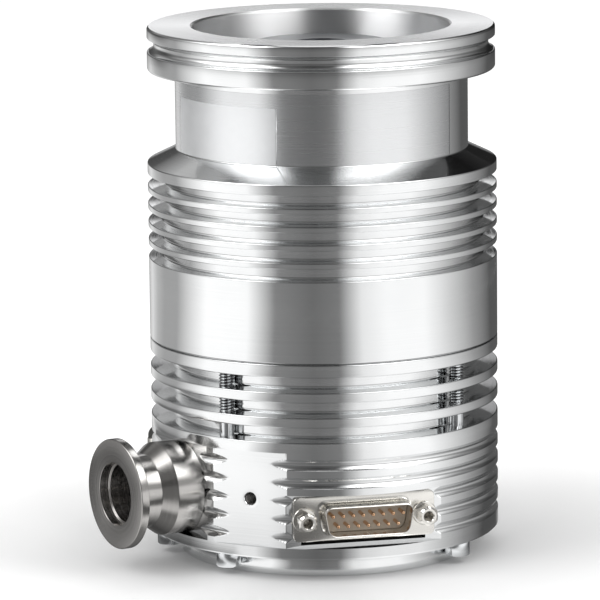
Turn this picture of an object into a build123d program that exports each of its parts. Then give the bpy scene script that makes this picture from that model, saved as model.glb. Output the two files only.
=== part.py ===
from build123d import *
import math
import os

os.makedirs("parts", exist_ok=True)

# Turbomolecular vacuum pump, millimetres. +Z runs up the pump axis from the
# underside of the base cover; the control connector faces -Y.
# Headings are degrees about +Z measured from -Y, positive towards +X.

# ---- driving dimensions ----
body_r = 47.8                       # outside radius of both housings
base_r, base_top = body_r - 7.8, 6.15       # round base cover the pump stands on
joint_z = 59.4                      # plane between lower and inlet housing
top_z = 145.1                       # inlet flange face
flange_r, flange_t = body_r - 0.3, 12.0     # inlet flange, outside 95 mm, 12 mm thick
neck_r, neck_long = body_r - 7.8, 21.5      # neck below the inlet flange
stack_r, stack_top = body_r - 10.6, top_z - 14.1    # bore that holds the stator stack
inlet_r = stack_r - 2.0             # inlet bore
clear = 0.05                        # radial clearance of seated round pieces
port_z = 22.1                       # height of the foreline port's axis
port_heading, port_long = -72.4, 20.7
port_flat = body_r - 2.0            # milled seat of the foreline port
port_face = port_flat + port_long
flat_heading, flat_dist = -39.45, body_r - 1.3
plug_flat, plug_z = body_r - 5.15, 17.1     # milled seat and height of the connector
vent_heading, vent_z, vent_out = -126.4, 18.5, port_flat + 5.1
flat_bot = 9.3                      # milled seats stop at the rims
screw_ring, screw_r = body_r - 4.2, 2.0     # long M4 screws that hold the housings
screw_headings = (-50.9, 41.4, 129.1, 221.4)
earth_heading = -94.4               # short M4 earth screw beside them
hub_r, hub_top = 18.6, top_z - 5.0
blade_tip = inlet_r - 0.8

# ---- helpers ----


def ring(r_in, r_out, z0, z1):
    """A plain ring about the pump axis, as a profile for revolve."""
    return [(r_in, z0), (r_out, z0), (r_out, z1), (r_in, z1)]


def facing(heading, dist, z):
    """Plane square to the given heading; its local x is level, y is up."""
    a = math.radians(heading)
    out = Vector(math.sin(a), -math.cos(a), 0)
    level = Vector(math.cos(a), math.sin(a), 0)
    return Plane(origin=out * dist + Vector(0, 0, z), x_dir=level, z_dir=out)


def at(heading, r):
    a = math.radians(heading)
    return (r * math.sin(a), -r * math.cos(a))


def save(part, name):
    part.label = name
    export_step(part, f"parts/{name}.step")


# ---- inlet housing: flange, neck, cone shoulder, cooling fins, plain band ----
band_top = joint_z + 22.5           # plain band above the joint
flange_bot = top_z - flange_t
neck_bot = flange_bot - neck_long
rim_top, rim_t = neck_bot - 3.75, 2.95      # last cooling fin, under the cone
rim_bot = rim_top - rim_t
fin_t, fin_count = 1.65, 4
fin_gap = (rim_bot - band_top - fin_count * fin_t) / (fin_count + 1)
fins = [band_top + fin_gap + k * (fin_t + fin_gap) for k in range(fin_count)]
shallow_r, deep_r = body_r - 4.3, body_r - 5.4      # groove floors, lower and upper
rim_groove_z, rim_groove_r = top_z - 5.0, 1.95
edge = 0.4

housing_outline = [(stack_r, joint_z), (body_r - edge, joint_z), (body_r, joint_z + edge)]
housing_outline += [(body_r, band_top), (shallow_r, band_top)]
for k, low in enumerate(fins):
    under = deep_r if k == fin_count - 1 else shallow_r
    over = deep_r if k >= fin_count - 2 else shallow_r
    housing_outline += [(under, low), (body_r, low), (body_r, low + fin_t), (over, low + fin_t)]
housing_outline += [(deep_r, rim_bot), (body_r, rim_bot), (body_r, rim_top)]
housing_outline += [(neck_r, neck_bot), (neck_r, flange_bot)]
housing_outline += [(flange_r - edge, flange_bot), (flange_r, flange_bot + edge)]
housing_outline += [(flange_r, top_z - edge), (flange_r - edge, top_z)]
housing_outline += [(inlet_r + 0.3, top_z), (inlet_r, top_z - 0.3)]
housing_outline += [(inlet_r, stack_top), (stack_r, stack_top)]

with BuildPart() as inlet_housing:
    with BuildSketch(Plane.XZ):
        with BuildLine():
            Polyline(*housing_outline, close=True)
        make_face()
        with Locations((flange_r + 0.1, rim_groove_z)):
            Circle(rim_groove_r, mode=Mode.SUBTRACT)
    revolve(axis=Axis.Z)
    # tapped holes for the long screws, at thread size
    with BuildSketch(Plane.XY.offset(joint_z)):
        for h in screw_headings:
            with Locations(at(h, screw_ring)):
                Circle(screw_r)
    extrude(amount=12.0, mode=Mode.SUBTRACT)
save(inlet_housing.part, "inlet_housing")

# ---- lower housing: deep fins above, shallow vee grooves below ----
fin_rise, fin_pitch, deep_fin_t = 3.5, 6.8, 2.75
deep_fins = [(joint_z - fin_rise - k * fin_pitch, joint_z - fin_rise - k * fin_pitch + deep_fin_t)
             for k in (3, 2, 1)] + [(joint_z - fin_rise, joint_z)]
flat_top = deep_fins[0][0]
core_r = body_r - 6.8
vee_z = [port_z + 0.1 + 5.0 * k for k in (-2, -1, 0, 1, 2)]
vee_half, vee_deep = 1.45, 0.8
cavity_r, tube_r, motor_r = body_r - 13.8, 22.0, 15.0
spigot_r = base_r - 10.0
cavity_floor, motor_floor, tube_top = 12.0, 10.0, joint_z + 6.6
seal_in, seal_out, seal_deep = body_r - 9.4, body_r - 7.2, 1.6

lower_outline = [(cavity_r, cavity_floor), (tube_r, cavity_floor), (tube_r, tube_top)]
lower_outline += [(motor_r, tube_top), (motor_r, motor_floor), (spigot_r, motor_floor), (spigot_r, base_top)]
lower_outline += [(body_r - edge, base_top), (body_r, base_top + edge)]
for z in vee_z:
    lower_outline += [(body_r, z - vee_half), (body_r - vee_deep, z), (body_r, z + vee_half)]
for (low, high), (next_low, next_high) in zip(deep_fins, deep_fins[1:]):
    lower_outline += [(body_r, high), (core_r, high), (core_r, next_low), (body_r, next_low)]
lower_outline += [(body_r, joint_z - edge), (body_r - edge, joint_z)]
lower_outline += [(seal_out, joint_z), (seal_out, joint_z - seal_deep)]
lower_outline += [(seal_in, joint_z - seal_deep), (seal_in, joint_z), (cavity_r, joint_z)]

shell_in_x, shell_in_z = 26.0, 9.0  # pocket behind the connector
jack_pitch, jack_stud_r = 33.3, 1.4
spigot_hole_r, spigot_long, port_bore = 9.5, 5.8, 8.0
accessory_r, accessory_deep = 1.75, 8.0
drill_point = 0.6                   # depth of a drill's point as a share of its radius
cover_ring = base_r - 3.2

with BuildPart() as lower_housing:
    with BuildSketch(Plane.XZ):
        with BuildLine():
            Polyline(*lower_outline, close=True)
        make_face()
    revolve(axis=Axis.Z)
    # milled seats: foreline port, accessory flat, vent
    seat_z = (flat_bot + flat_top) / 2
    for heading, dist in ((port_heading, port_flat), (flat_heading, flat_dist),
                          (vent_heading, port_flat)):
        with BuildSketch(facing(heading, dist, seat_z)):
            Rectangle(40, flat_top - flat_bot)
        extrude(amount=10, mode=Mode.SUBTRACT)
    # connector seat, its inner pocket and the clearance slot under its flange
    plug_top = 23.8
    with BuildSketch(facing(0, plug_flat, (flat_bot + plug_top) / 2)):
        Rectangle(60, plug_top - flat_bot)
    extrude(amount=10, mode=Mode.SUBTRACT)
    with BuildSketch(facing(0, plug_flat, plug_z)):
        Rectangle(shell_in_x, shell_in_z)
    extrude(amount=-6.5, mode=Mode.SUBTRACT)
    with BuildSketch(facing(0, plug_flat, 10.4)):
        Rectangle(33.0, 2.2)
    extrude(amount=-3.5, mode=Mode.SUBTRACT)
    # threaded seats of the connector's jack-screws
    with BuildSketch(facing(0, plug_flat, plug_z)):
        with GridLocations(jack_pitch, 1, 2, 1):
            Circle(jack_stud_r)
    extrude(amount=-5, mode=Mode.SUBTRACT)
    # foreline passage: spigot bore, then the way through to the cavity
    with BuildSketch(facing(port_heading, port_flat, port_z)):
        Circle(spigot_hole_r)
    extrude(amount=-spigot_long - 0.2, mode=Mode.SUBTRACT)
    with BuildSketch(facing(port_heading, port_flat, port_z)):
        Circle(port_bore)
    extrude(amount=cavity_r - port_flat - 3.2, mode=Mode.SUBTRACT)
    # vent passage
    with BuildSketch(facing(vent_heading, port_flat, vent_z)):
        Circle(4.0)
    extrude(amount=-5, mode=Mode.SUBTRACT)
    with BuildSketch(facing(vent_heading, port_flat, vent_z)):
        Circle(1.5)
    extrude(amount=-14, mode=Mode.SUBTRACT)
    # tapped accessory hole, ending in the point its drill leaves
    with BuildSketch(facing(flat_heading, flat_dist, port_z)):
        Circle(accessory_r)
    extrude(amount=-accessory_deep, mode=Mode.SUBTRACT)
    with Locations(facing(flat_heading, flat_dist - accessory_deep, port_z)):
        Cone(accessory_r, 0, drill_point * accessory_r, rotation=(180, 0, 0),
             align=(Align.CENTER, Align.CENTER, Align.MIN), mode=Mode.SUBTRACT)
    # long screw clearance holes, and the earth screw's tapped hole
    with BuildSketch(Plane.XY.offset(base_top)):
        for h in screw_headings:
            with Locations(at(h, screw_ring)):
                Circle(2.25)
    extrude(amount=joint_z - base_top, mode=Mode.SUBTRACT)
    with BuildSketch(Plane.XY.offset(base_top)):
        with Locations(at(earth_heading, screw_ring)):
            Circle(screw_r)
    extrude(amount=8, mode=Mode.SUBTRACT)
    # base cover's M3 tapped holes
    with BuildSketch(Plane.XY.offset(base_top)):
        with PolarLocations(cover_ring, 4, start_angle=45):
            Circle(1.5)
    extrude(amount=7, mode=Mode.SUBTRACT)
save(lower_housing.part, "lower_housing")

# ---- base cover with a locating spigot, seal groove and counterbores ----
cover_seal_in, cover_seal_out = spigot_r + 1.6, spigot_r + 4.0
cover_groove, spigot_top = base_top - 1.35, motor_floor - 0.2
cover_seat = 3.3                    # counterbore depth of the cover's screws
with BuildPart() as base_cover:
    with BuildSketch(Plane.XZ):
        with BuildLine():
            Polyline((0, 0), (base_r - 0.5, 0), (base_r, 0.5), (base_r, base_top),
                     (cover_seal_out, base_top), (cover_seal_out, cover_groove),
                     (cover_seal_in, cover_groove), (cover_seal_in, base_top),
                     (spigot_r - clear, base_top), (spigot_r - clear, spigot_top),
                     (0, spigot_top), close=True)
        make_face()
    revolve(axis=Axis.Z)
    with BuildSketch(Plane.XY):
        with PolarLocations(cover_ring, 4, start_angle=45):
            Circle(1.6)
    extrude(amount=base_top, mode=Mode.SUBTRACT)
    with BuildSketch(Plane.XY):
        with PolarLocations(cover_ring, 4, start_angle=45):
            Circle(2.9)
    extrude(amount=cover_seat, mode=Mode.SUBTRACT)
save(base_cover.part, "base_cover")

with BuildPart() as base_seal:
    with BuildSketch(Plane.XZ):
        with BuildLine():
            Polyline(*ring(cover_seal_in + 0.3, cover_seal_out - 0.3, cover_groove, base_top),
                     close=True)
        make_face()
    revolve(axis=Axis.Z)
save(base_seal.part, "base_seal")

with BuildPart() as housing_seal:
    with BuildSketch(Plane.XZ):
        with BuildLine():
            Polyline(*ring(seal_in + 0.3, seal_out - 0.3, joint_z - seal_deep, joint_z), close=True)
        make_face()
    revolve(axis=Axis.Z)
save(housing_seal.part, "housing_seal")

# ---- socket head screws ----
head_r, head_h = 3.5, 4.0


def socket_screws(places, z_seat, shank_len, r_head, h_head, r_shank, r_socket):
    """Cap screws driven from below: heads hang under z_seat, shanks rise."""
    with BuildPart() as screws:
        with BuildSketch(Plane.XY.offset(z_seat)):
            with Locations(*places):
                Circle(r_head)
        extrude(amount=-h_head)
        with BuildSketch(Plane.XY.offset(z_seat)):
            with Locations(*places):
                Circle(r_shank)
        extrude(amount=shank_len)
        with BuildSketch(Plane.XY.offset(z_seat - h_head)):
            with Locations(*places):
                RegularPolygon(r_socket, 6)
        extrude(amount=h_head / 2, mode=Mode.SUBTRACT)
    return screws.part


long_places = [at(h, screw_ring) for h in screw_headings]
save(socket_screws(long_places, base_top, joint_z - base_top + 10, head_r, head_h, screw_r, 1.7),
     "housing_screws")
save(socket_screws([at(earth_heading, screw_ring)], base_top, 7, head_r, head_h, screw_r, 1.7),
     "earth_screw")
cover_places = [(cover_ring * math.cos(a), cover_ring * math.sin(a))
                for a in (math.radians(45 + 90 * k) for k in range(4))]
save(socket_screws(cover_places, cover_seat, 9, 2.75, 2.9, 1.5, 1.4), "cover_screws")

# ---- rotor: bell-shaped hub that carries a stack of bladed collars ----
# each bladed collar, from the inlet down: height, blade count, angle, thickness
stage_low = (stack_top - 1.5, stack_top - 15.5, stack_top - 28.5)
stage_high, stage_thick = (6.0, 5.0, 4.0), (1.1, 1.0, 0.9)
blade_count, blade_angle = (20, 24, 28), (42.0, 35.0, 26.0)
bell_r, bell_wall, bell_bot = cavity_r - 2.0, 2.0, joint_z + 9.6
bell_top, bell_roof = stack_top - 33.0, stack_top - 39.0
collar_in = hub_r - 4.0
collar_z = (hub_top, stack_top - 2.5, stack_top - 17.0, bell_top)
shaft_r, clamp_z = 4.0, hub_top - 6.1
boss_r, boss_low = 9.5, tube_top + 2.0


def blade_section(height, tilt, thick):
    """Parallelogram of one blade seen along its length: level feet, tilted sides."""
    run = height / math.tan(math.radians(tilt))
    foot = thick / math.sin(math.radians(tilt))
    return [(-run / 2 - foot / 2, 0), (-run / 2 + foot / 2, 0),
            (run / 2 + foot / 2, height), (run / 2 - foot / 2, height)]


with BuildPart() as rotor:
    with BuildSketch(Plane.XZ):
        with BuildLine():
            Polyline((shaft_r, boss_low), (boss_r, boss_low), (boss_r, bell_roof),
                     (bell_r - bell_wall, bell_roof), (bell_r - bell_wall, bell_bot),
                     (bell_r, bell_bot), (bell_r, bell_top), (collar_in, bell_top),
                     (collar_in, hub_top), (8.0, hub_top), (8.0, clamp_z), (shaft_r, clamp_z),
                     close=True)
        make_face()
    revolve(axis=Axis.Z)
save(rotor.part, "rotor")

for k in range(3):
    high, low = collar_z[k], collar_z[k + 1]
    with BuildPart() as stage:
        with BuildSketch(Plane.XY.offset(low)):
            Circle(hub_r)
            Circle(collar_in, mode=Mode.SUBTRACT)
        extrude(amount=high - low)
        for b in range(blade_count[k]):
            with BuildSketch(facing(360 * b / blade_count[k], hub_r - 1.5, stage_low[k])):
                with BuildLine():
                    Polyline(*blade_section(stage_high[k], blade_angle[k], stage_thick[k]), close=True)
                make_face()
        extrude(amount=blade_tip - hub_r + 1.5)
    save(stage.part, f"rotor_stage_{k + 1}")

# ---- stator stack: split blade discs between spacer rings ----
stack_fit = stack_r - clear
disc_low, disc_high, disc_thick = (stack_top - 8.0, stack_top - 22.0), 4.5, 0.9
disc_count, disc_angle = (20, 24), (40.0, 30.0)
disc_rim, disc_hub = stack_r - 3.6, hub_r + 0.7
for k in range(2):
    with BuildPart() as stator_disc:
        with BuildSketch(Plane.XY.offset(disc_low[k])):
            Circle(stack_fit)
            Circle(disc_rim, mode=Mode.SUBTRACT)
            Circle(disc_hub + 1.7)
            Circle(disc_hub, mode=Mode.SUBTRACT)
        extrude(amount=disc_high)
        for b in range(disc_count[k]):
            heading = 360 * (b + 0.5) / disc_count[k]
            with BuildSketch(facing(heading, disc_hub + 1.1, disc_low[k])):
                with BuildLine():
                    Polyline(*blade_section(disc_high, 180 - disc_angle[k], disc_thick), close=True)
                make_face()
        extrude(amount=disc_rim - disc_hub - 0.7)
        # each disc is two half rings, so it can be put between the rotor stages
        with BuildSketch(Plane.XY.offset(disc_low[k])):
            Rectangle(3 * stack_r, 0.2)
        extrude(amount=disc_high, mode=Mode.SUBTRACT)
    save(stator_disc.part, f"stator_disc_{k + 1}")

drag_top = disc_low[1] - 10.0
spacers = [(disc_low[0] + disc_high, stack_top), (disc_low[1] + disc_high, disc_low[0]),
           (drag_top, disc_low[1])]
for number, (z0, z1) in enumerate(spacers, 1):
    with BuildPart() as spacer:
        with BuildSketch(Plane.XZ):
            with BuildLine():
                Polyline(*ring(inlet_r, stack_fit, z0, z1), close=True)
            make_face()
        revolve(axis=Axis.Z)
    save(spacer.part, f"spacer_ring_{number}")

with BuildPart() as drag_stator:
    with BuildSketch(Plane.XZ):
        with BuildLine():
            Polyline(*ring(bell_r + 0.4, stack_fit, joint_z, drag_top), close=True)
        make_face()
    revolve(axis=Axis.Z)
save(drag_stator.part, "drag_stator")

# ---- shaft, clamp screw and motor ----
shaft_body_r, magnet_r, bearing_w = 5.0, 8.8, 7.0
bearing_low, bearing_high = motor_floor + 3.0, tube_top - 10.0
core_low, core_high = bearing_low + bearing_w + 10.0, bearing_high - 10.0
core_in, winding_t = magnet_r + 0.6, 5.0
clamp_screw_r, clamp_long, clamp_head = 2.5, 10.0, 5.0
with BuildPart() as rotor_shaft:
    with BuildSketch(Plane.XZ):
        with BuildLine():
            Polyline((0, bearing_low - 0.5), (shaft_r, bearing_low - 0.5),
                     (shaft_r, bearing_low + bearing_w + 1.0),
                     (shaft_body_r, bearing_low + bearing_w + 1.0),
                     (shaft_body_r, bearing_high - 1.0), (shaft_r, bearing_high - 1.0),
                     (shaft_r, clamp_z), (clamp_screw_r, clamp_z),
                     (clamp_screw_r, clamp_z - clamp_long - 2.0), (0, clamp_z - clamp_long - 2.0),
                     close=True)
        make_face()
    revolve(axis=Axis.Z)
save(rotor_shaft.part, "rotor_shaft")

with BuildPart() as clamp_screw:
    with BuildSketch(Plane.XY.offset(clamp_z)):
        Circle(4.25)
    extrude(amount=clamp_head)
    with BuildSketch(Plane.XY.offset(clamp_z)):
        Circle(clamp_screw_r)
    extrude(amount=-clamp_long)
    with BuildSketch(Plane.XY.offset(clamp_z + clamp_head)):
        RegularPolygon(2.3, 6)
    extrude(amount=-clamp_head / 2, mode=Mode.SUBTRACT)
save(clamp_screw.part, "rotor_clamp_screw")

with BuildPart() as motor_magnet:
    with BuildSketch(Plane.XY.offset(core_low)):
        Circle(magnet_r)
        Circle(shaft_body_r, mode=Mode.SUBTRACT)
    extrude(amount=core_high - core_low)
save(motor_magnet.part, "motor_magnet")

with BuildPart() as motor_core:
    with BuildSketch(Plane.XY.offset(core_low)):
        Circle(motor_r)
        Circle(core_in, mode=Mode.SUBTRACT)
    extrude(amount=core_high - core_low)
save(motor_core.part, "motor_core")

with BuildPart() as motor_windings:
    for z0 in (core_low - winding_t, core_high):
        with BuildSketch(Plane.XY.offset(z0)):
            Circle(motor_r - 0.8)
            Circle(core_in + 1.0, mode=Mode.SUBTRACT)
        extrude(amount=winding_t)
save(motor_windings.part, "motor_windings")

# ---- bearings: races, rolling set and carrier ring, one pair low, one high ----
race_in, race_out, bearing_r = 5.5, 9.54, 11.0
pitch_r, roller_r, roller_count = (race_in + race_out) / 2, (race_out - race_in) / 2 - 0.07, 7
for name, z0 in (("lower", bearing_low), ("upper", bearing_high)):
    with BuildPart() as outer_race:
        with BuildSketch(Plane.XY.offset(z0)):
            Circle(bearing_r)
            Circle(race_out, mode=Mode.SUBTRACT)
        extrude(amount=bearing_w)
    save(outer_race.part, f"{name}_bearing_outer")

    with BuildPart() as inner_race:
        with BuildSketch(Plane.XY.offset(z0)):
            Circle(race_in)
            Circle(shaft_r, mode=Mode.SUBTRACT)
        extrude(amount=bearing_w)
    save(inner_race.part, f"{name}_bearing_inner")

    # a retaining ring with its rolling elements, seven round the pitch circle
    with BuildPart() as rolling_set:
        with BuildSketch(Plane.XY.offset(z0 + 1.5)):
            Circle(pitch_r + 0.6)
            Circle(pitch_r - 0.6, mode=Mode.SUBTRACT)
            with PolarLocations(pitch_r, roller_count):
                Circle(roller_r)
        extrude(amount=bearing_w - 3)
    save(rolling_set.part, f"{name}_bearing_rollers")

    with BuildPart() as carrier:
        with BuildSketch(Plane.XY.offset(z0 - 1)):
            Circle(motor_r)
            Circle(bearing_r, mode=Mode.SUBTRACT)
        extrude(amount=bearing_w + 2)
    save(carrier.part, f"{name}_bearing_carrier")

# ---- foreline port: small-flange tube turned from stainless bar ----
port_r, rim_t, neck_port_r, cone_r = 15.0, 2.4, 10.0, 12.7
neck_end, cone_end = port_face - 9.1, port_face - 12.8
recess_r, recess_deep = 8.65, 2.8
taper = (port_r - neck_port_r) * math.tan(math.radians(15))
rim_back = port_face - rim_t
port_axis = facing(port_heading, 0, port_z)
half = Plane(origin=port_axis.origin, x_dir=port_axis.x_dir, z_dir=-port_axis.y_dir)
with BuildPart() as foreline_port:
    with BuildSketch(half):
        with BuildLine():
            Polyline((port_bore, port_flat - spigot_long),
                     (spigot_hole_r - clear, port_flat - spigot_long),
                     (spigot_hole_r - clear, port_flat), (10.3, port_flat), (10.3, port_flat + 1.2),
                     (12.0, port_flat + 1.2), (12.0, port_flat), (cone_r, port_flat),
                     (cone_r, cone_end), (neck_port_r, neck_end),
                     (neck_port_r, rim_back - taper), (port_r, rim_back),
                     (port_r, port_face - 0.2), (port_r - 0.2, port_face),
                     (recess_r, port_face), (recess_r, port_face - recess_deep),
                     (port_bore, port_face - recess_deep),
                     close=True)
        make_face()
    revolve(axis=Axis(port_axis.origin, port_axis.z_dir))
save(foreline_port.part, "foreline_port")

with BuildPart() as foreline_seal:
    with BuildSketch(facing(port_heading, port_flat, port_z)):
        Circle(11.8)
        Circle(10.5, mode=Mode.SUBTRACT)
    extrude(amount=1.2)
save(foreline_seal.part, "foreline_seal")

# ---- vent: elbow fitting with an upright stub and a push-in cap ----
vent_stub_r, vent_top, vent_bore = 2.9, 26.5, 1.5
vent_x, vent_y = at(vent_heading, vent_out)
with BuildPart() as vent_elbow:
    with BuildSketch(facing(vent_heading, port_flat, vent_z)):
        RegularPolygon(4.5, 6)
    extrude(amount=1.6)
    with BuildSketch(facing(vent_heading, port_flat, vent_z)):
        Circle(vent_stub_r)
    extrude(amount=vent_out - port_flat)
    with BuildSketch(facing(vent_heading, port_flat, vent_z)):
        Circle(4.0 - clear)
    extrude(amount=-4.8)
    with BuildSketch(Plane.XY.offset(vent_z - vent_stub_r)):
        with Locations((vent_x, vent_y)):
            Circle(vent_stub_r)
    extrude(amount=vent_top - vent_z + vent_stub_r)
    with BuildSketch(Plane.XY.offset(vent_top)):
        with Locations((vent_x, vent_y)):
            Circle(vent_bore)
    extrude(amount=vent_z - vent_top, mode=Mode.SUBTRACT)
    with BuildSketch(facing(vent_heading, port_flat - 4.8, vent_z)):
        Circle(vent_bore)
    extrude(amount=vent_out - port_flat + 4.8, mode=Mode.SUBTRACT)
save(vent_elbow.part, "vent_elbow")

cap_r, cap_skirt, stem_r, stem_len = 2.65, 0.6, vent_bore - clear, 5.0
dome = cap_r / math.sqrt(2)
with BuildPart() as vent_cap:
    with BuildSketch(Plane.XZ):
        with BuildLine():
            Polyline((0, vent_top + cap_skirt + cap_r), (0, vent_top - stem_len),
                     (stem_r, vent_top - stem_len), (stem_r, vent_top), (cap_r, vent_top),
                     (cap_r, vent_top + cap_skirt))
            ThreePointArc((cap_r, vent_top + cap_skirt), (dome, vent_top + cap_skirt + dome),
                          (0, vent_top + cap_skirt + cap_r))
        make_face()
    revolve(axis=Axis.Z)
save(vent_cap.part.moved(Location((vent_x, vent_y, 0))), "vent_cap")

# ---- control connector: flanged shell, insulator, pins, jack-screws ----
plug_w, plug_h, sheet_t = 39.1, 12.3, 1.3
shell_w, shell_h, shell_out, wall = 25.2, 8.4, 5.9, 0.45
pin_pitch, row_gap = 2.76, 2.84


def d_corners(width, height):
    """Corners of the D outline: wide side up, ends leaning in by 10 degrees."""
    lean = height * math.tan(math.radians(10))
    return [(-width / 2, height / 2), (width / 2, height / 2),
            (width / 2 - lean, -height / 2), (-width / 2 + lean, -height / 2)]


seat = facing(0, plug_flat, plug_z)
face = facing(0, plug_flat + sheet_t, plug_z)
with BuildPart() as connector_shell:
    with BuildSketch(seat):
        RectangleRounded(plug_w, plug_h, 1.6)
        with GridLocations(jack_pitch, 1, 2, 1):
            Circle(1.5, mode=Mode.SUBTRACT)
    extrude(amount=sheet_t)
    with BuildSketch(face):
        with BuildLine():
            FilletPolyline(*d_corners(shell_w, shell_h),
                           radius=2.4, close=True)
        make_face()
    extrude(amount=shell_out)
    with BuildSketch(seat):
        with BuildLine():
            FilletPolyline(*d_corners(shell_w - 2 * wall, shell_h - 2 * wall),
                           radius=2.4 - wall, close=True)
        make_face()
    extrude(amount=sheet_t + shell_out, mode=Mode.SUBTRACT)
save(connector_shell.part, "connector_shell")

with BuildPart() as insulator:
    with BuildSketch(seat):
        with BuildLine():
            FilletPolyline(*d_corners(shell_w - 2 * wall - 2 * clear, shell_h - 2 * wall - 2 * clear),
                           radius=1.9, close=True)
        make_face()
    extrude(amount=sheet_t + 0.4)
    with BuildSketch(seat):
        Rectangle(shell_in_x - 0.4, shell_in_z - 0.6)
    extrude(amount=-5.5)
    with BuildSketch(facing(0, plug_flat + sheet_t + 0.4, plug_z)):
        with Locations((0, row_gap / 2)):
            with GridLocations(pin_pitch, 1, 8, 1):
                Circle(0.5)
        with Locations((0, -row_gap / 2)):
            with GridLocations(pin_pitch, 1, 7, 1):
                Circle(0.5)
    extrude(amount=-4, mode=Mode.SUBTRACT)
save(insulator.part, "connector_insulator")

with BuildPart() as pins:
    with BuildSketch(facing(0, plug_flat + sheet_t + 0.4 - 4, plug_z)):
        with Locations((0, row_gap / 2)):
            with GridLocations(pin_pitch, 1, 8, 1):
                Circle(0.5)
        with Locations((0, -row_gap / 2)):
            with GridLocations(pin_pitch, 1, 7, 1):
                Circle(0.5)
    extrude(amount=8.6)
save(pins.part, "connector_pins")

with BuildPart() as jackscrews:
    with BuildSketch(face):
        with GridLocations(jack_pitch, 1, 2, 1):
            RegularPolygon(2.5, 6, major_radius=False, rotation=30)
    extrude(amount=5.2)
    with BuildSketch(face):
        with GridLocations(jack_pitch, 1, 2, 1):
            Circle(1.4)
    extrude(amount=-sheet_t - 4.5)
    with BuildSketch(facing(0, plug_flat + sheet_t + 5.2, plug_z)):
        with GridLocations(jack_pitch, 1, 2, 1):
            Circle(1.25)
    extrude(amount=-5, mode=Mode.SUBTRACT)
save(jackscrews.part, "connector_jackscrews")

# ---- bare foil plate on the neck ----
plate_t, plate_low, plate_high = 0.15, neck_bot + 0.4, neck_bot + 15.6
plate_heading, plate_angle = -85.4, 54.3        # left edge and sweep
with BuildPart() as nameplate:
    with BuildSketch(Plane.XZ):
        with BuildLine():
            Polyline(*ring(neck_r, neck_r + plate_t, plate_low, plate_high), close=True)
        make_face()
    revolve(axis=Axis.Z, revolution_arc=plate_angle)
save(nameplate.part.moved(Location((0, 0, 0), (0, 0, plate_heading - 90))), "nameplate")
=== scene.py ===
import math

import bmesh
import bpy
import numpy as np
from mathutils import Matrix, Vector


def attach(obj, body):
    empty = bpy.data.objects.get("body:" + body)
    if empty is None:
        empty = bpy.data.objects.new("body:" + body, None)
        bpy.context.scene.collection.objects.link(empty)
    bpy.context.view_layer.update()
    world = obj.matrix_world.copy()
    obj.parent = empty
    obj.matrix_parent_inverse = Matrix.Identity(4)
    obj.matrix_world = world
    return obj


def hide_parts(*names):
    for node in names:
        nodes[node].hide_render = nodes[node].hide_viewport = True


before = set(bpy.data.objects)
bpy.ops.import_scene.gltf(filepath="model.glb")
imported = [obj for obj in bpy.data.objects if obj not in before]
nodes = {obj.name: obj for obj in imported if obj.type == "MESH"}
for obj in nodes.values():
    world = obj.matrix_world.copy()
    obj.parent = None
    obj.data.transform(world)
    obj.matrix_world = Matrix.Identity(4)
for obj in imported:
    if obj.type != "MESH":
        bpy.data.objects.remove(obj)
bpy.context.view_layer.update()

# ---- inlet housing ----
# The upper housing is one aluminium turning: clamp flange, neck, cone, cooling
# fins and a plain band. It sits on the lower housing and is held by long screws.
MM = 0.001
BODY_R, JOINT_Z, TOP_Z = 47.8, 59.4, 145.1
FLANGE_R, FLANGE_BOT, NECK_R, NECK_BOT = 47.5, 133.1, 40.0, 111.6
INLET_R, STACK_R, STACK_TOP = 35.2, 37.2, 131.0


def eased(corners, soft, steps=3, closed=False):
    """Corners of a profile rounded: at corner P the curve (1-t)^2 A + 2t(1-t) P + t^2 B
    joins A and B, which lie soft away from P on its two edges (at most 0.45 of an edge).
    soft is one length, or one for each corner."""
    p = np.array(corners, float)
    soft = np.reshape(soft, (-1, 1))
    before, here, after = np.roll(p, 1, 0), p, np.roll(p, -1, 0)
    reach_in = np.linalg.norm(here - before, axis=1, keepdims=True)
    reach_out = np.linalg.norm(after - here, axis=1, keepdims=True)
    cut = np.minimum(soft, 0.45 * np.minimum(reach_in, reach_out))
    a = here + (before - here) / np.maximum(reach_in, 1e-9) * cut
    b = here + (after - here) / np.maximum(reach_out, 1e-9) * cut
    t = np.linspace(0, 1, steps + 1)[None, :, None]
    curve = (1 - t) ** 2 * a[:, None] + 2 * t * (1 - t) * here[:, None] + t ** 2 * b[:, None]
    if closed:
        return curve.reshape(-1, 2)
    return np.vstack([p[:1], curve[1:-1].reshape(-1, 2), p[-1:]])


def about_axis(r, a, z):
    """Points at radius r, heading a and height z: (r sin a, -r cos a, z)."""
    return np.stack([r * np.sin(a), -r * np.cos(a), z + 0 * (r * a)], -1)


def along(profile, closed=False):
    """Length along a profile up to each of its points, in metres."""
    p = np.vstack([profile, profile[:1]]) if closed else np.asarray(profile)
    return np.concatenate([[0], np.cumsum(np.linalg.norm(np.diff(p, axis=0), axis=1))]) * MM


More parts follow.
